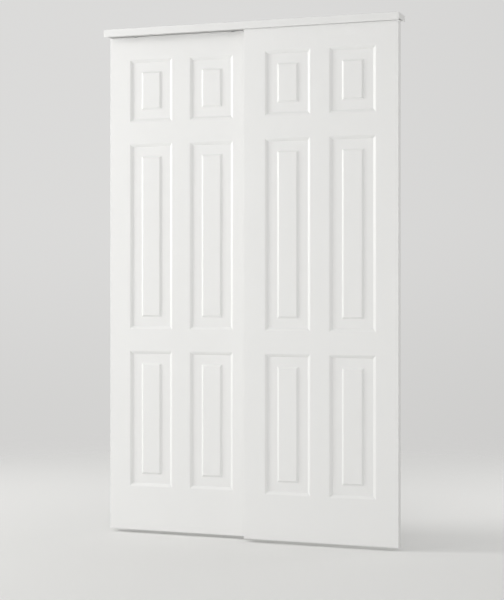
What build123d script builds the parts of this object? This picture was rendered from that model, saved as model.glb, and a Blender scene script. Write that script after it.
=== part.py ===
from build123d import *
import os

os.makedirs("parts", exist_ok=True)

# Bypass sliding doors: two moulded six-panel doors that hang from a double track and pass each other.
# X runs along the opening, the front is towards -Y and Z is up.
# The origin is the middle of the track's top face, which is screwed up to the head of the opening.
# All sizes are in millimetres.

# The opening
opening_height = 2032.0         # finished floor to the top of the track
floor_gap = 12.5                # open space under both doors

# The doors
door_width = 619.5
door_thickness = 35.0
door_top_drop = 28.5            # top of the track to the doors' top edges
door_spacing = 15.8             # air between the two doors
door_end_margin = 2.5           # the header runs on past each closed door by this much
skin_thickness = 3.2
skin_edge_ease = 1.0            # small chamfer round the skin's outer edge
core_stile_width = 32.0
core_top_rail_width = 34.0
core_bottom_rail_width = 44.0

# The six raised panels of a door, as seen on its face
stile_width = 87.5
mullion_width = 75.5
bottom_rail_height = 177.0
bottom_panel_height = 547.0
lock_rail_height = 88.0
frieze_rail_height = 88.5
top_panel_height = 252.0
top_rail_height = 90.5          # the middle panels take the height that is left

# The moulding round each panel, from the face inwards
moulding_run = 12.0
moulding_depth = 7.0
moulding_bulge = 0.8
groove_width = 37.0
bevel_run = 7.7
bevel_rise = 5.2
bevel_bulge = 0.2

# The header
header_length = 1219.0
fascia_height = 29.5            # reaches just below the doors' top edges, in front of them
fascia_thickness = 1.6
fascia_clearance = 5.0          # back of the fascia to the front door
fascia_flange_thickness = 1.5
fascia_flange_gap = 1.0         # between the fascia's flange and the front rail's leg
fascia_edge_radius = 0.6
web_thickness = 2.0
end_cap_thickness = 1.6
end_cap_corner_radius = 2.0
spigot_length = 8.0
spigot_clearance = 0.5
spigot_corner_radius = 1.5

# The screw holes in the track's web
screw_hole_count = 4
screw_hole_inset = 37.9         # from the web's ends to the outer holes
screw_hole_radius = 2.5

# The rails
rail_sheet = 1.6
rail_bend_radius = 1.6
rail_flange_depth = 10.0        # from the middle of the leg back under the web
rail_leg_reach = 20.0           # from the middle of the lip to the middle of the leg
rail_bottom_to_door = 5.5       # rail's underside to the doors' top edges

# The wheels
wheel_radius = 7.5
wheel_width = 8.0
wheel_to_web = 2.0
groove_depth = 1.6
groove_root_width = 2.4
groove_mouth_width = 5.2
rolling_gap = 0.3
wheel_edge_ease = 0.5

# The axles
axle_radius = 2.5
axle_running_gap = 0.1
axle_end_play = 0.15
axle_head_radius = 3.8
axle_head_thickness = 1.2
axle_collar_length = 1.6
axle_tail_radius = 2.0
axle_tail_head_radius = 3.2
axle_tail_head_thickness = 1.0

# The hanger plates
hanger_inset = 100.0            # middle of the plate to the door's side edge
plate_thickness = 2.0
plate_jog = 7.0
plate_bend_radius = 2.0
plate_width = 44.0
plate_neck_width = 13.0
plate_lap = 50.0                # how far the plate laps down over the door's back
plate_corner_radius = 5.0
plate_shoulder_drop = 4.0       # from the doors' top edges down to the plate's shoulders
plate_hole_gap = 0.05
slot_width = 5.0
slot_length = 18.0
slot_spacing = 26.0
slot_drop = 24.0
lock_hole_radius = 2.2
lock_hole_drop = 41.0

# Places that follow from the sizes above
door_top = -door_top_drop
door_bottom = floor_gap - opening_height
door_height = door_top - door_bottom
door_pitch = door_thickness + door_spacing
doors_depth = door_pitch + door_thickness
door_front_y = -doors_depth / 2
header_front_y = door_front_y - fascia_clearance - fascia_thickness
header_back_y = -header_front_y
door_shift = header_length / 2 - door_end_margin - door_width / 2
panel_width = (door_width - 2 * stile_width - mullion_width) / 2
track_length = header_length - 2 * end_cap_thickness
screw_hole_spacing = (track_length - 2 * screw_hole_inset) / (screw_hole_count - 1)
middle_panel_height = door_height - (
    bottom_rail_height + bottom_panel_height + lock_rail_height
    + frieze_rail_height + top_panel_height + top_rail_height
)

wheel_z = -web_thickness - wheel_to_web - wheel_radius
lip_top = wheel_z - (wheel_radius - groove_depth) - rolling_gap
rail_bottom = door_top + rail_bottom_to_door
plate_face_from_wheel = wheel_width / 2 + axle_end_play + axle_collar_length
door_back_to_wheel = plate_jog + plate_face_from_wheel
wheel_y = door_front_y + door_thickness - door_back_to_wheel

cut_margin = 1.0                # how far a cutting shape runs past the face that it opens


def prism_along_x(section, length):
    """Extrude a section drawn in Y and Z along X, centred on X = 0."""
    return extrude(Plane.YZ * section, amount=length / 2, both=True)


def strip(points, thickness, radius):
    """Section of bent sheet: a path with rounded bends, thickened to both sides, with round ends."""
    path = FilletPolyline(*points, radius=radius + thickness / 2)
    return make_face(offset(path, amount=thickness / 2, kind=Kind.ARC).edges())


def moulding_void(width, top):
    """Section of a panel's sunk field without its raised middle, open at the face."""
    half = width / 2
    foot = half - moulding_run
    bulge = moulding_bulge
    outline = [
        Line((-half, top), (half, top)),
        Line((half, top), (half, 0)),
        SagittaArc((half, 0), (foot, -moulding_depth), -bulge),
        Line((foot, -moulding_depth), (-foot, -moulding_depth)),
        SagittaArc((-foot, -moulding_depth), (-half, 0), -bulge),
        Line((-half, 0), (-half, top)),
    ]
    return make_face(Curve() + outline)


def raised_field(width, below):
    """Section of a panel's raised middle: two bevels up to a flat top, carried on down below the groove."""
    half = width / 2 - moulding_run - groove_width
    crown = half - bevel_run
    root = half + below * bevel_run / bevel_rise
    base = -moulding_depth
    top = base + bevel_rise
    outline = [
        Line((-root, base - below), (root, base - below)),
        Line((root, base - below), (half, base)),
        SagittaArc((half, base), (crown, top), bevel_bulge),
        Line((crown, top), (-crown, top)),
        SagittaArc((-crown, top), (-half, base), bevel_bulge),
        Line((-half, base), (-root, base - below)),
    ]
    return make_face(Curve() + outline)


def mitred(section_of, width, height):
    """Solid with the same section across its width and up its height, so that its corners are mitred."""
    reach = 2 * max(width, height)
    across = extrude(Plane.XZ * section_of(width), amount=reach, both=True)
    upward = extrude(Plane.YZ * section_of(height), amount=reach, both=True)
    return across & upward


def panel_cut(width, height):
    """What a panel takes out of the face: the sunk field less the raised middle."""
    sunk = mitred(lambda size: moulding_void(size, cut_margin), width, height)
    raised = mitred(lambda size: raised_field(size, cut_margin), width, height)
    return sunk - raised


def panel_pan(width, height):
    """The pan that carries a panel behind the flat of the skin, one skin thickness outside the sunk field."""
    def section(size):
        pan = offset(moulding_void(size, cut_margin), amount=skin_thickness, kind=Kind.INTERSECTION)
        reach = size + 4 * moulding_depth
        below_face = Pos(0, -reach / 2 - skin_thickness / 2) * Rectangle(reach, reach)
        return pan & below_face
    return mitred(section, width, height)


def panel_hollow(width, height):
    """The hollow behind a panel's raised middle, one skin thickness inside it."""
    deep = 3 * skin_thickness
    return mitred(lambda size: offset(raised_field(size, deep), amount=-skin_thickness,
                                      kind=Kind.INTERSECTION), width, height)


def panel_rows():
    """Height above the door's bottom edge of each row's middle, with the row's panel height."""
    rows = []
    base = bottom_rail_height
    for height, rail_above in (
        (bottom_panel_height, lock_rail_height),
        (middle_panel_height, frieze_rail_height),
        (top_panel_height, 0),
    ):
        rows.append((base + height / 2, height))
        base += height + rail_above
    return rows


def moulded_skin():
    """One pressed skin, lying in X and Y with its face at Z = 0 and its bottom edge at Y = 0."""
    flat = Pos(0, door_height / 2, -skin_thickness / 2) * Box(door_width, door_height, skin_thickness)
    flat = chamfer(flat.faces().sort_by(Axis.Z)[-1].edges(), skin_edge_ease)
    column = (mullion_width + panel_width) / 2
    skin = flat
    for middle, height in panel_rows():
        pan = panel_pan(panel_width, height)
        cut = panel_cut(panel_width, height)
        hollow = panel_hollow(panel_width, height)
        for side in (-1, 1):
            place = Pos(side * column, middle, 0)
            skin = skin + place * pan - place * cut - place * hollow
    return skin


def door_pieces():
    """The pieces of one door, with its front face at Y = 0, its middle at X = 0 and its top at door_top."""
    skin = moulded_skin()
    face_skin = Pos(0, 0, door_bottom) * Rot(90, 0, 0) * skin
    back_skin = Pos(0, door_thickness, 0) * Rot(0, 0, 180) * face_skin
    core_depth = door_thickness - 2 * skin_thickness
    middle_y = door_thickness / 2
    stile = Box(core_stile_width, core_depth, door_height)
    stile_x = (door_width - core_stile_width) / 2
    stile_z = (door_top + door_bottom) / 2
    rail_length = door_width - 2 * core_stile_width
    top_rail_z = door_top - core_top_rail_width / 2
    bottom_rail_z = door_bottom + core_bottom_rail_width / 2
    return {
        "face_skin": face_skin,
        "back_skin": back_skin,
        "left_stile": Pos(-stile_x, middle_y, stile_z) * stile,
        "right_stile": Pos(stile_x, middle_y, stile_z) * stile,
        "top_rail": Pos(0, middle_y, top_rail_z) * Box(rail_length, core_depth, core_top_rail_width),
        "bottom_rail": Pos(0, middle_y, bottom_rail_z) * Box(rail_length, core_depth, core_bottom_rail_width),
    }


def wheel():
    """Grooved wheel, turned about the Y axis, with its rim eased."""
    half = wheel_width / 2
    bore = axle_radius + axle_running_gap
    root = wheel_radius - groove_depth
    one_side = [
        (root, groove_root_width / 2),
        (wheel_radius, groove_mouth_width / 2),
        (wheel_radius, half),
        (bore, half),
    ]
    other_side = [(radius, -along) for radius, along in reversed(one_side)]
    section = make_face(Polyline(*one_side, *other_side, close=True))
    rim_corners = [v for v in section.vertices() if v.X > wheel_radius - groove_depth / 2 and abs(v.Y) == half]
    section = chamfer(rim_corners, wheel_edge_ease)
    return revolve(section, Axis.Y)


def axle():
    """Shouldered rivet, turned about the Y axis: head, shank, collar, and a tail through the plate."""
    shank = wheel_width / 2 + axle_end_play
    collar = plate_face_from_wheel
    tail = collar + plate_thickness
    outline = [
        (0, -shank - axle_head_thickness),
        (axle_head_radius, -shank - axle_head_thickness),
        (axle_head_radius, -shank),
        (axle_radius, -shank),
        (axle_radius, shank),
        (axle_head_radius, shank),
        (axle_head_radius, collar),
        (axle_tail_radius, collar),
        (axle_tail_radius, tail),
        (axle_tail_head_radius, tail),
        (axle_tail_head_radius, tail + axle_tail_head_thickness),
        (0, tail + axle_tail_head_thickness),
    ]
    return revolve(make_face(Polyline(*outline, close=True)), Axis.Y)


def hanger_plate():
    """Stamped plate behind a door: it laps the door's back, jogs forward over its top and holds the axle."""
    middle = door_thickness + plate_thickness / 2
    plate_bottom = door_top - plate_lap
    jog_foot = door_top + plate_bend_radius
    path = [
        (middle, plate_bottom - plate_thickness),
        (middle, jog_foot),
        (middle - plate_jog, jog_foot + plate_jog),
        (middle - plate_jog, wheel_z + plate_neck_width),
    ]
    bent = prism_along_x(strip(path, plate_thickness, plate_bend_radius), plate_width)
    half = plate_width / 2
    neck = plate_neck_width / 2
    shoulder = door_top - plate_shoulder_drop
    outline = make_face(Curve() + [
        Line((-half, plate_bottom), (half, plate_bottom)),
        Line((half, plate_bottom), (half, shoulder)),
        Line((half, shoulder), (neck, door_top)),
        Line((neck, door_top), (neck, wheel_z)),
        RadiusArc((neck, wheel_z), (-neck, wheel_z), -neck),
        Line((-neck, wheel_z), (-neck, door_top)),
        Line((-neck, door_top), (-half, shoulder)),
        Line((-half, shoulder), (-half, plate_bottom)),
    ])
    bottom_corners = outline.vertices().group_by(Axis.Y)[0]
    outline = fillet(bottom_corners, plate_corner_radius)
    for side in (-1, 1):
        slot = Rot(0, 0, 90) * SlotOverall(slot_length, slot_width)
        outline -= Pos(side * slot_spacing / 2, door_top - slot_drop) * slot
    outline -= Pos(0, door_top - lock_hole_drop) * Circle(lock_hole_radius)
    outline -= Pos(0, wheel_z) * Circle(axle_tail_radius + plate_hole_gap)
    return bent & extrude(Plane.XZ * outline, amount=2 * door_thickness, both=True)


def hanger_pieces():
    """The pieces of one hanger, in the same place as a door's middle."""
    to_wheel = Pos(0, door_thickness - door_back_to_wheel, wheel_z)
    return {
        "hanger_plate": hanger_plate(),
        "wheel": to_wheel * wheel(),
        "axle": to_wheel * axle(),
    }


def rail():
    """Channel of bent sheet, with a flange under the web and a lip for the wheels whose middle is at Y = 0."""
    half = rail_sheet / 2
    under_web = -web_thickness - half
    floor = rail_bottom + half
    path = [
        (-rail_leg_reach + rail_flange_depth, under_web),
        (-rail_leg_reach, under_web),
        (-rail_leg_reach, floor),
        (0, floor),
        (0, lip_top - half),
    ]
    return prism_along_x(strip(path, rail_sheet, rail_bend_radius), track_length)


def track_web():
    """Flat top plate of the track, from the fascia to the back, with its screw holes."""
    front = header_front_y + fascia_thickness
    depth = header_back_y - front
    web = Pos(0, front + depth / 2, -web_thickness / 2) * Box(track_length, depth, web_thickness)
    hole = Cylinder(screw_hole_radius, 3 * web_thickness)
    for place in GridLocations(screw_hole_spacing, 1, screw_hole_count, 1):
        web -= place * hole
    return web


def header_fascia():
    """Front strip that hides the wheels, with a flange that lies under the web, between the end caps."""
    front = header_front_y
    back = header_front_y + fascia_thickness
    face = make_face(Polyline((front, 0), (back, 0), (back, -fascia_height), (front, -fascia_height), close=True))
    front_corners = face.vertices().group_by(Axis.X)[0]
    face = fillet(front_corners, fascia_edge_radius)
    rail_leg_front = wheel_y - rail_leg_reach - rail_sheet / 2
    flange_depth = rail_leg_front - fascia_flange_gap - back
    flange_z = -web_thickness - fascia_flange_thickness / 2
    flange = Pos(back + flange_depth / 2, flange_z) * Rectangle(flange_depth, fascia_flange_thickness)
    return prism_along_x(face, header_length) + prism_along_x(flange, track_length)


def end_cap():
    """Cap for the track's right end: a plate with two spigots that plug into the rails."""
    front = header_front_y + fascia_thickness
    depth = header_back_y - front
    plate = Pos(front + depth / 2, rail_bottom / 2) * Rectangle(depth, -rail_bottom)
    back_corners = plate.vertices().group_by(Axis.X)[-1]
    plate = fillet(back_corners, end_cap_corner_radius)
    inner_face = track_length / 2
    cap = Pos(inner_face, 0, 0) * extrude(Plane.YZ * plate, amount=end_cap_thickness)
    spigot_depth = rail_leg_reach - rail_sheet - 2 * spigot_clearance
    spigot_top = -web_thickness - rail_sheet - spigot_clearance
    spigot_bottom = rail_bottom + rail_sheet + spigot_clearance
    spigot = RectangleRounded(spigot_depth, spigot_top - spigot_bottom, spigot_corner_radius)
    for rail_y in (wheel_y, wheel_y + door_pitch):
        middle = Pos(rail_y - rail_leg_reach / 2, (spigot_top + spigot_bottom) / 2)
        block = extrude(Plane.YZ * (middle * spigot), amount=-spigot_length)
        cap += Pos(inner_face, 0, 0) * block
    return cap


def assembly():
    """Every piece by its name."""
    cap = end_cap()
    pieces = {
        "top_track_web": track_web(),
        "header_fascia": header_fascia(),
        "front_rail": Pos(0, wheel_y, 0) * rail(),
        "back_rail": Pos(0, wheel_y + door_pitch, 0) * rail(),
        "right_end_cap": cap,
        "left_end_cap": mirror(cap, Plane.YZ),
    }
    door = door_pieces()
    hanger = hanger_pieces()
    hanger_x = door_width / 2 - hanger_inset
    for name, side, front in (
        ("front_door", 1, door_front_y),
        ("back_door", -1, door_front_y + door_pitch),
    ):
        home = Pos(side * door_shift, front, 0)
        for piece, shape in door.items():
            pieces[f"{name}_{piece}"] = home * shape
        for end, x in (("left", -hanger_x), ("right", hanger_x)):
            for piece, shape in hanger.items():
                pieces[f"{name}_{end}_{piece}"] = home * Pos(x, 0, 0) * shape
    return pieces


for name, shape in assembly().items():
    export_step(shape, f"parts/{name}.step")
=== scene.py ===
import math

import bmesh
import bpy
import numpy as np
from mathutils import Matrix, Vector


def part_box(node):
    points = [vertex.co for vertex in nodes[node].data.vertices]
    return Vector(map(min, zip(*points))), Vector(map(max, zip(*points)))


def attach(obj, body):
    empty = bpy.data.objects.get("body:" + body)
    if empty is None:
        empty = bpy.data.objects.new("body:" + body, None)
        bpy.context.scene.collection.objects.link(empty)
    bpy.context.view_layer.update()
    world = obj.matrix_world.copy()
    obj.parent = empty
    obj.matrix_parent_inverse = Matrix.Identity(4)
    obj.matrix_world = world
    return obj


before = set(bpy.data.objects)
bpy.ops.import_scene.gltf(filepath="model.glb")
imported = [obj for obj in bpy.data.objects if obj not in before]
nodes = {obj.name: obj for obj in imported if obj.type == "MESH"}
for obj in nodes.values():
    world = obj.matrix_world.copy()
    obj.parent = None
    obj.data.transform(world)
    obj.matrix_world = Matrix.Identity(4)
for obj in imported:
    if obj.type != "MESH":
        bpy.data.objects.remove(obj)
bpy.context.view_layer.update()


# Moulded door skins
# Hardboard pressed hot between steel dies into six raised panels, front and back alike.
# Primed and sprayed at the works with a smooth white satin paint.

class Wire:
    """One output of a node tree. Sums, differences and products of wires and numbers add Math nodes."""

    def __init__(self, tree, socket=None):
        self.tree = tree
        self.socket = socket

    def node(self, kind, settings=None, out=0, **inputs):
        """Adds a node of this kind: its settings first, then its sockets, by name with _ for a space,
        or by number with i before it."""
        made = self.tree.nodes.new("ShaderNode" + kind)
        for key, value in (settings or {}).items():
            setattr(made, key, value)
        for key, value in inputs.items():
            numbered = key[0] == "i" and key[1:].isdigit()
            target = made.inputs[int(key[1:]) if numbered else key.replace("_", " ")]
            if isinstance(value, Wire):
                self.tree.links.new(value.socket, target)
            else:
                target.default_value = value
        return Wire(self.tree, made.outputs[out])

    def shown_as(self, output):
        """Links this shader to a new Material or World output."""
        made = self.tree.nodes.new("ShaderNodeOutput" + output)
        self.tree.links.new(self.socket, made.inputs["Surface"])

    def maths(self, operation, first, second):
        return self.node("Math", {"operation": operation}, i0=first, i1=second)

    def __add__(self, other):
        return self.maths("ADD", self, other)

    __radd__ = __add__

    def __mul__(self, other):
        return self.maths("MULTIPLY", self, other)

    __rmul__ = __mul__

    def along(self, axis):
        """The X, Y or Z of this vector."""
        return self.node("SeparateXYZ", out=axis, Vector=self)

    def rise(self, start, end):
        """0 up to start, 1 from end on, and a smooth step between them."""
        smooth = {"interpolation_type": "SMOOTHSTEP"}
        return self.node("MapRange", smooth, Value=self, From_Min=start, From_Max=end)

    def stretched(self, scale):
        """The same pattern space, scaled along X, Y and Z."""
        return self.node("Mapping", Vector=self, Scale=scale)

    def noise(self, scale, detail=2.0, roughness=0.5):
        """Cloudy values around 0.5, of about one cloud in 1 / scale metres."""
        return self.node("TexNoise", Vector=self, Scale=scale, Detail=detail, Roughness=roughness)

    def tone(self, light, dark):
        """Colour from dark, where this value is 0, to light, where it is 1."""
        return self.node("Mix", {"data_type": "RGBA"}, out=2, i0=self, i6=(*dark, 1.0), i7=(*light, 1.0))


def blank_tree(owner):
    """A wire with no socket in the emptied node tree of a material or world."""
    owner.use_nodes = True
    owner.node_tree.nodes.clear()
    return Wire(owner.node_tree)


def finish(name, base, rough, relief, depth, **constants):
    """Material from a base colour, a roughness and a height in 0 to 1 that stands for depth metres. The first
    three are each a function of Object coordinates, and constants are the shader's other sockets."""
    material = bpy.data.materials.new(name)
    place = blank_tree(material).node("TexCoord", out="Object")
    bump = place.node("Bump", Strength=1.0, Distance=depth, Height=relief(place))
    shader = place.node(
        "BsdfPrincipled", Base_Color=base(place), Roughness=rough(place), Normal=bump, **constants
    )
    shader.shown_as("Material")
    return material


def dress(material, *names):
    """Gives the CAD nodes of these names the material."""
    for name in names:
        for slot in nodes[name].material_slots:
            slot.material = material


skin_white = (0.802, 0.802, 0.798)
skin_shade = (0.788, 0.787, 0.782)
skin_paint = finish(
    "satin_white_skin",
    base=lambda p: p.noise(3.0, 3.0).tone(skin_white, skin_shade),
    rough=lambda p: 0.40 + 0.06 * p.noise(45.0),
    relief=lambda p: p.noise(520.0, 1.0),
    depth=0.00003,
    Specular_IOR_Level=0.35,
)
doors = ("front_door", "back_door")
for door in doors:
    dress(skin_paint, f"{door}_face_skin", f"{door}_back_skin")


# Door stiles and rails
# Softwood strips glued between the two skins; only their outer edges show, under the same paint.
# The paint lets the long grain of the wood through very faintly.

def grain(place, along):
    """Fine streaks along one axis: noise squeezed across the grain."""
    squeeze = {"x": (12.0, 340.0, 340.0), "z": (340.0, 340.0, 12.0)}[along]
    return place.stretched(squeeze).noise(1.0, 3.0)


def edge_paint(name, along):
    """White paint over wood whose grain runs along this axis."""
    return finish(
        name,
        base=lambda p: grain(p, along).tone((0.798, 0.797, 0.790), (0.772, 0.770, 0.760)),
        rough=lambda p: 0.44 + 0.08 * grain(p, along),
        relief=lambda p: grain(p, along),
        depth=0.00008,
        Specular_IOR_Level=0.35,
    )


stile_paint = edge_paint("painted_stile_edge", "z")
crosspiece_paint = edge_paint("painted_rail_edge", "x")
for door in doors:
    dress(stile_paint, f"{door}_left_stile", f"{door}_right_stile")
    dress(crosspiece_paint, f"{door}_top_rail", f"{door}_bottom_rail")


# Hanger plates
# Stamped from 2 mm steel and zinc plated, jogged forward over the top of the door.
# Rolling lines run along the sheet, and the plating clouds a little.

def zinc(name, squeeze, light, dark):
    """Zinc-plated steel, with fine lines along the axis that squeeze scales least."""
    def lines(place):
        return place.stretched(squeeze).noise(1.0, 4.0, 0.6)

    return finish(
        name,
        base=lambda p: p.noise(38.0, 3.0).tone(light, dark),
        rough=lambda p: 0.26 + 0.14 * lines(p) + 0.10 * p.noise(60.0, 3.0),
        relief=lines,
        depth=0.00002,
        Metallic=0.92,
    )


plate_zinc = zinc("zinc_hanger_plate", (900.0, 900.0, 30.0), (0.70, 0.71, 0.725), (0.56, 0.57, 0.585))
hangers = [f"{door}_{side}" for door in doors for side in ("left", "right")]
dress(plate_zinc, *[f"{hanger}_hanger_plate" for hanger in hangers])


# Hanger screws
# Two pan head screws with washers hold each plate to the door through its slots, which set the door's height,
# and one locking screw goes through the round hole below. Zinc-plated steel with a cross recess.

def turned(profile, centre, axis, across, steps=40):
    """Points of a profile turned round an axis: centre + r cos(a) across + r sin(a) (axis x across) + h axis.
    profile is a list of (r, h); the grid has one row for each and one column for each angle a."""
    r, h = np.array(profile, float).T
    a = np.linspace(0.0, 2 * math.pi, steps, endpoint=False)
    w = np.array(axis, float)
    u = np.array(across, float)
    v = np.cross(w, u)
    ring = np.cos(a)[:, None] * u + np.sin(a)[:, None] * v
    return np.array(centre, float) + r[:, None, None] * ring + h[:, None, None] * w


def grid_mesh(grid):
    """Vertices and quads of a grid that closes on itself along its columns."""
    rows, columns = grid.shape[:2]
    i = np.arange(rows - 1)[:, None]
    j = np.arange(columns)[None, :]
    after = (j + 1) % columns
    corners = [i * columns + j, i * columns + after, (i + 1) * columns + after, (i + 1) * columns + j]
    quads = np.stack([np.broadcast_to(c, (rows - 1, columns)) for c in corners], axis=-1).reshape(-1, 4)
    return grid.reshape(-1, 3), quads


def solid_piece(name, grids, material, body, smooth_angle=32.0):
    """One piece from several closed grids: poles are merged, faces turned outwards, and edges sharper than
    smooth_angle degrees kept."""
    points, quads, start = [], [], 0
    for grid in grids:
        p, q = grid_mesh(grid)
        points.append(p)
        quads.append(q + start)
        start += len(p)
    mesh = bpy.data.meshes.new(name)
    mesh.from_pydata(np.concatenate(points).tolist(), [], np.concatenate(quads).tolist())
    shape = bmesh.new()
    shape.from_mesh(mesh)
    bmesh.ops.remove_doubles(shape, verts=shape.verts, dist=1e-7)
    bmesh.ops.dissolve_degenerate(shape, edges=shape.edges, dist=1e-8)
    bmesh.ops.recalc_face_normals(shape, faces=shape.faces)
    shape.to_mesh(mesh)
    shape.free()
    mesh.polygons.foreach_set("use_smooth", np.ones(len(mesh.polygons), bool))
    mesh.set_sharp_from_angle(angle=math.radians(smooth_angle))
    mesh.materials.append(material)
    piece = bpy.data.objects.new(name, mesh)
    bpy.context.scene.collection.objects.link(piece)
    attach(piece, body)
    return piece


def screw(centre, axis, across, head_radius, head_height, shank_radius, shank_length):
    """Pan head screw: a dome on a short rim, then the shank. The head's top is lowered inside a cross recess:
    depth times a step inside the arms' width and reach, where x and y are the point across the head."""
    rim = 0.45 * head_height
    roundness = 3.2
    t = np.linspace(0.0, 1.0, 13)
    crown = [math.sqrt(max(0.0, 1 - s ** roundness)) for s in t]
    dome = [(head_radius * s, rim + (head_height - rim) * c) for s, c in zip(t, crown)]
    under = [(head_radius, 0.0), (shank_radius, 0.0), (shank_radius, -shank_length), (0.0, -shank_length)]
    grid = turned(dome + under, centre, axis, across, steps=64)
    w = np.array(axis, float)
    u = np.array(across, float)
    v = np.cross(w, u)
    away = grid[:len(dome)] - np.array(centre, float)
    x = np.abs(away @ u)
    y = np.abs(away @ v)
    recess_depth = 0.6 * head_height
    arm = 0.13 * head_radius
    arm_slope = 0.6 * arm
    reach = 0.62 * head_radius
    reach_slope = 0.25 * reach
    inside = np.clip((arm - np.minimum(x, y)) / arm_slope + 0.5, 0, 1)
    inside *= np.clip((reach - np.maximum(x, y)) / reach_slope + 0.3, 0, 1)
    grid[:len(dome)] -= (recess_depth * inside)[..., None] * w
    return grid


def washer(centre, axis, across, bore, radius, thickness):
    """Flat ring with its outer edges broken: a closed profile turned round the screw."""
    ease = 0.15 * thickness
    profile = [
        (bore, 0.0), (radius - ease, 0.0), (radius, ease), (radius, thickness - ease),
        (radius - ease, thickness), (bore, thickness), (bore, 0.0),
    ]
    return turned(profile, centre, axis, across)


screw_zinc = zinc("zinc_screw", (700.0, 700.0, 700.0), (0.72, 0.73, 0.74), (0.50, 0.51, 0.525))
slot_spacing = 0.026
slot_drop = 0.024
lock_drop = 0.041
washer_thickness = 0.0008
slot_screw_turns = ((-1, 0.4), (1, 1.1))
locking_screw_turn = 0.75
backward = (0, 1, 0)
door_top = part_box("front_door_face_skin")[1].z
for hanger in hangers:
    low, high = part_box(f"{hanger}_hanger_plate")
    middle = (low.x + high.x) / 2
    face = high.y
    body = "_".join(hanger.split("_")[:2])
    grids = []
    for side, turn in slot_screw_turns:
        at = (middle + side * slot_spacing / 2, face, door_top - slot_drop)
        arms = (math.cos(turn), 0.0, math.sin(turn))
        head = (at[0], face + washer_thickness, at[2])
        grids.append(washer(at, backward, arms, bore=0.0024, radius=0.0050, thickness=washer_thickness))
        grids.append(screw(
            head, backward, arms,
            head_radius=0.0039, head_height=0.0021, shank_radius=0.0021, shank_length=0.0178,
        ))
    at = (middle, face, door_top - lock_drop)
    arms = (math.cos(locking_screw_turn), 0.0, math.sin(locking_screw_turn))
    grids.append(screw(
        at, backward, arms,
        head_radius=0.0037, head_height=0.0020, shank_radius=0.0020, shank_length=0.0170,
    ))
    solid_piece(f"{hanger}_hanger_screws", grids, screw_zinc, body)


# Wheels
# Natural nylon, moulded in one piece with a grooved tread that rides on the rail's lip.
# Slightly waxy, with faint flow marks.

wheel_nylon = finish(
    "natural_nylon_wheel",
    base=lambda p: p.noise(160.0, 3.0).tone((0.80, 0.785, 0.72), (0.72, 0.70, 0.63)),
    rough=lambda p: 0.38 + 0.12 * p.noise(240.0),
    relief=lambda p: p.noise(900.0, 2.0),
    depth=0.00002,
    Specular_IOR_Level=0.45,
)
dress(wheel_nylon, *[f"{hanger}_wheel" for hanger in hangers])


# Axles
# Shouldered steel rivets, turned from bar and zinc plated, with the tail closed over the hanger plate.

axle_zinc = zinc("zinc_axle", (600.0, 60.0, 600.0), (0.68, 0.69, 0.705), (0.48, 0.49, 0.50))
dress(axle_zinc, *[f"{hanger}_axle" for hanger in hangers])


# Rails
# Steel strip bent to a channel with a lip that the wheels roll on, under the same white paint as the track.
# Button rivets hold each rail's flange, and the fascia's, up to the web.

rail_paint = finish(
    "baked_white_rail",
    base=lambda p: p.noise(11.0, 3.0).tone((0.810, 0.810, 0.804), (0.790, 0.789, 0.782)),
    rough=lambda p: 0.36 + 0.08 * p.noise(90.0),
    relief=lambda p: p.noise(1000.0, 1.0),
    depth=0.000015,
    Specular_IOR_Level=0.40,
)
dress(rail_paint, "front_rail", "back_rail")


def rivet(centre, radius, height):
    """Button rivet head under a flange: a quarter ellipse turned about Z, closed where it meets the sheet."""
    angles = np.linspace(0.0, math.pi / 2, 7)
    profile = [(radius * math.sin(a), height * math.cos(a)) for a in angles] + [(0.0, 0.0)]
    return turned(profile, centre, (0, 0, -1), (1, 0, 0), steps=24)


web_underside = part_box("top_track_web")[0].z
rail_sheet = 0.0016
rail_rivet_inset = 0.0074
fascia_sheet = 0.0015
fascia_rivet_inset = 0.0027
rivet_places = np.linspace(-0.56, 0.56, 8)
for name, sheet, line in (
    ("front_rail_rivets", rail_sheet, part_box("front_rail")[0].y + rail_rivet_inset),
    ("back_rail_rivets", rail_sheet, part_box("back_rail")[0].y + rail_rivet_inset),
    ("fascia_rivets", fascia_sheet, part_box("header_fascia")[1].y - fascia_rivet_inset),
):
    grids = [rivet((x, line, web_underside - sheet), radius=0.0021, height=0.0011) for x in rivet_places]
    solid_piece(name, grids, rail_paint, "header")


# Track web and its screws
# Aluminium strip with a white baked paint, screwed up to the head of the opening by four pan head screws.

web_paint = finish(
    "baked_white_track",
    base=lambda p: p.noise(9.0, 3.0).tone((0.810, 0.810, 0.804), (0.790, 0.789, 0.782)),
    rough=lambda p: 0.34 + 0.08 * p.noise(80.0),
    relief=lambda p: p.noise(1100.0, 1.0),
    depth=0.000015,
    Specular_IOR_Level=0.45,
)
dress(web_paint, "top_track_web")

track_screw_places = (-0.57, -0.19, 0.19, 0.57)
track_screw_turns = (0.2, 0.9, 0.55, 1.3)
grids = [
    screw(
        (x, 0.0, web_underside), (0, 0, -1), (math.cos(turn), math.sin(turn), 0.0),
        head_radius=0.0045, head_height=0.0024, shank_radius=0.0023, shank_length=0.0020,
    )
    for x, turn in zip(track_screw_places, track_screw_turns)
]
solid_piece("track_screws", grids, screw_zinc, "header")


# Fascia
# Aluminium strip with a rounded front edge and a white baked paint; it hides the rails and the wheels.

fascia_paint = finish(
    "baked_white_fascia",
    base=lambda p: p.noise(7.0, 3.0).tone((0.779, 0.779, 0.775), (0.767, 0.766, 0.761)),
    rough=lambda p: 0.36 + 0.06 * p.noise(70.0),
    relief=lambda p: p.noise(900.0, 1.0),
    depth=0.000015,
    Specular_IOR_Level=0.40,
)
dress(fascia_paint, "header_fascia")


# End caps
# Moulded white plastic, with a fine matt grain from the mould; their spigots plug into the rails.

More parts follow.
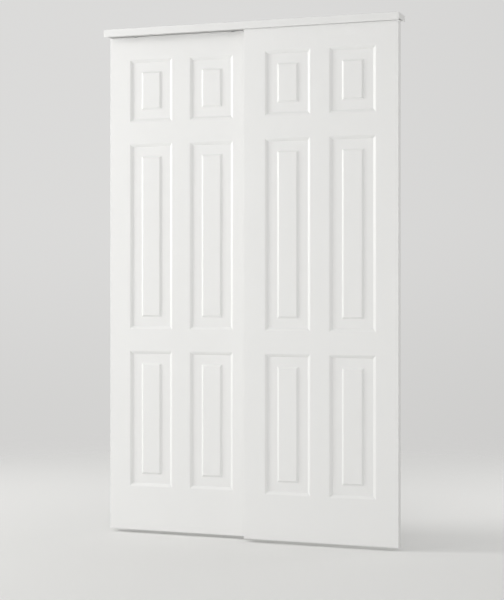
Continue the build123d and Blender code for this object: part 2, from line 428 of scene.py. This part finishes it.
cap_plastic = finish(
    "moulded_white_cap",
    base=lambda p: p.noise(30.0, 2.0).tone((0.790, 0.790, 0.785), (0.772, 0.771, 0.765)),
    rough=lambda p: 0.50 + 0.08 * p.noise(200.0),
    relief=lambda p: p.noise(1600.0, 2.0),
    depth=0.00004,
    Specular_IOR_Level=0.40,
)
dress(cap_plastic, "left_end_cap", "right_end_cap")


# Studio floor
# A plain pale floor that keeps the shadow and fades out into the pale background all round.
# The camera sees it a little darker than it lights the doors, with painted light to the right of them and
# behind them: a faint glow that only the camera sees.

floor_level = -2.032
floor_radius = 9.0
fade_start, fade_end = 2.0, 4.6
back_painted_light, right_painted_light = 0.14, 0.045
rings = np.linspace(0.0, floor_radius, 25)
floor_grid = turned([(r, 0.0) for r in rings], (0.0, 0.0, floor_level), (0, 0, 1), (1, 0, 0), steps=96)
points, quads = grid_mesh(floor_grid)
floor_mesh = bpy.data.meshes.new("studio_floor")
floor_mesh.from_pydata(points.tolist(), [], quads.tolist())
floor = bpy.data.objects.new("studio_floor", floor_mesh)
bpy.context.scene.collection.objects.link(floor)

floor_material = bpy.data.materials.new("studio_floor")
place = blank_tree(floor_material).node("TexCoord", out="Object")
# Painted light: a glow added to the floor's colour for the camera only, stronger behind the doors and to
# their right.
painted_light_level = back_painted_light * place.along("Y").rise(-0.6, 1.6) + right_painted_light * place.along("X").rise(-0.2, 1.0)
painted_light = place.node("Emission", Color=painted_light_level.tone((1.0, 0.998, 0.990), (0.0, 0.0, 0.0)), Strength=1.0)
seen_paint = place.node("BsdfDiffuse", Color=(0.776, 0.775, 0.766, 1.0))
seen_floor = place.node("AddShader", i0=seen_paint, i1=painted_light)
distance = place.node("VectorMath", {"operation": "LENGTH"}, out="Value", i0=place)
fade = distance.rise(fade_start, fade_end)
seen_fading = place.node("MixShader", i0=fade, i1=seen_floor, i2=place.node("BsdfTransparent"))
lit_floor = place.node("BsdfDiffuse", Color=(0.80, 0.80, 0.79, 1.0))
camera_ray = place.node("LightPath", out="Is Camera Ray")
place.node("MixShader", i0=camera_ray, i1=lit_floor, i2=seen_fading).shown_as("Material")
floor_mesh.materials.append(floor_material)


# Studio light
# A soft world and six soft lamps: two far out on the left, a small one nearer, a broad one beside the camera
# with a low strip under it, and a faint one behind the doors on the right. The camera, gloss and glass see a
# plain pale background instead of the soft world, a little darker low down and to the right.

world = bpy.data.worlds.new("studio")
bpy.context.scene.world = world
sight = blank_tree(world)
camera_ray, glossy_ray, transmission_ray = (
    sight.node("LightPath", out=f"Is {kind} Ray") for kind in ("Camera", "Glossy", "Transmission")
)
seen = sight.node("Clamp", Value=camera_ray + glossy_ray + transmission_ray)
direction = sight.node("TexCoord", out="Object")
backdrop = direction.along("Z").rise(-0.115, 0.050).tone((0.709, 0.705, 0.697), (0.652, 0.648, 0.639))
shade = direction.along("X").rise(-0.36, -0.10).tone((0.945, 0.945, 0.945), (1.0, 1.0, 1.0))
multiply = {"data_type": "RGBA", "blend_type": "MULTIPLY"}
backdrop = sight.node("Mix", multiply, out=2, i0=1.0, i6=backdrop, i7=shade)
background = sight.node("Background", Color=backdrop, Strength=1.0)
soft = sight.node("Background", Color=(1.0, 0.998, 0.985, 1.0), Strength=0.54)
sight.node("MixShader", i0=seen, i1=soft, i2=background).shown_as("World")

middle_of_doors = Vector((0.0, 0.0, -1.1))


def soft_lamp(name, place, width, height, watts):
    """Rectangular lamp that looks at the middle of the doors and isn't seen itself."""
    lamp = bpy.data.lights.new(name, "AREA")
    lamp.shape = "RECTANGLE"
    lamp.size = width
    lamp.size_y = height
    lamp.energy = watts
    lamp.color = (1.0, 0.997, 0.985)
    holder = bpy.data.objects.new(name, lamp)
    holder.location = place
    holder.rotation_euler = (middle_of_doors - Vector(place)).to_track_quat("-Z", "Y").to_euler()
    holder.visible_camera = False
    bpy.context.scene.collection.objects.link(holder)


soft_lamp("left_lamp", (-4.2, -1.4, -0.1), width=1.2, height=0.8, watts=69.0)
soft_lamp("upper_left_lamp", (-4.2, -1.4, 0.5), width=1.2, height=1.2, watts=30.0)
soft_lamp("near_left_lamp", (-2.0, -2.2, 0.6), width=0.9, height=0.9, watts=10.0)
soft_lamp("camera_side_lamp", (1.6, -5.6, -0.5), width=2.0, height=1.6, watts=54.0)
soft_lamp("low_front_lamp", (0.3, -5.2, -1.5), width=2.4, height=0.6, watts=9.0)
soft_lamp("right_back_lamp", (2.8, 2.2, -0.6), width=1.5, height=2.0, watts=16.0)


# Camera
# Level, a little to the right of the doors, with the frame shifted down so that upright edges stay upright.

camera_data = bpy.data.cameras.new("camera")
camera_data.sensor_width = 36.0
camera_data.lens = 87.66
camera_data.shift_y = -0.035
camera = bpy.data.objects.new("camera", camera_data)
camera.location = (1.9044, -5.4179, -1.0055)
camera.rotation_euler = (math.radians(90.0), 0.0, math.radians(19.3))
bpy.context.scene.collection.objects.link(camera)
bpy.context.scene.camera = camera
bpy.context.scene.view_settings.view_transform = "Standard"
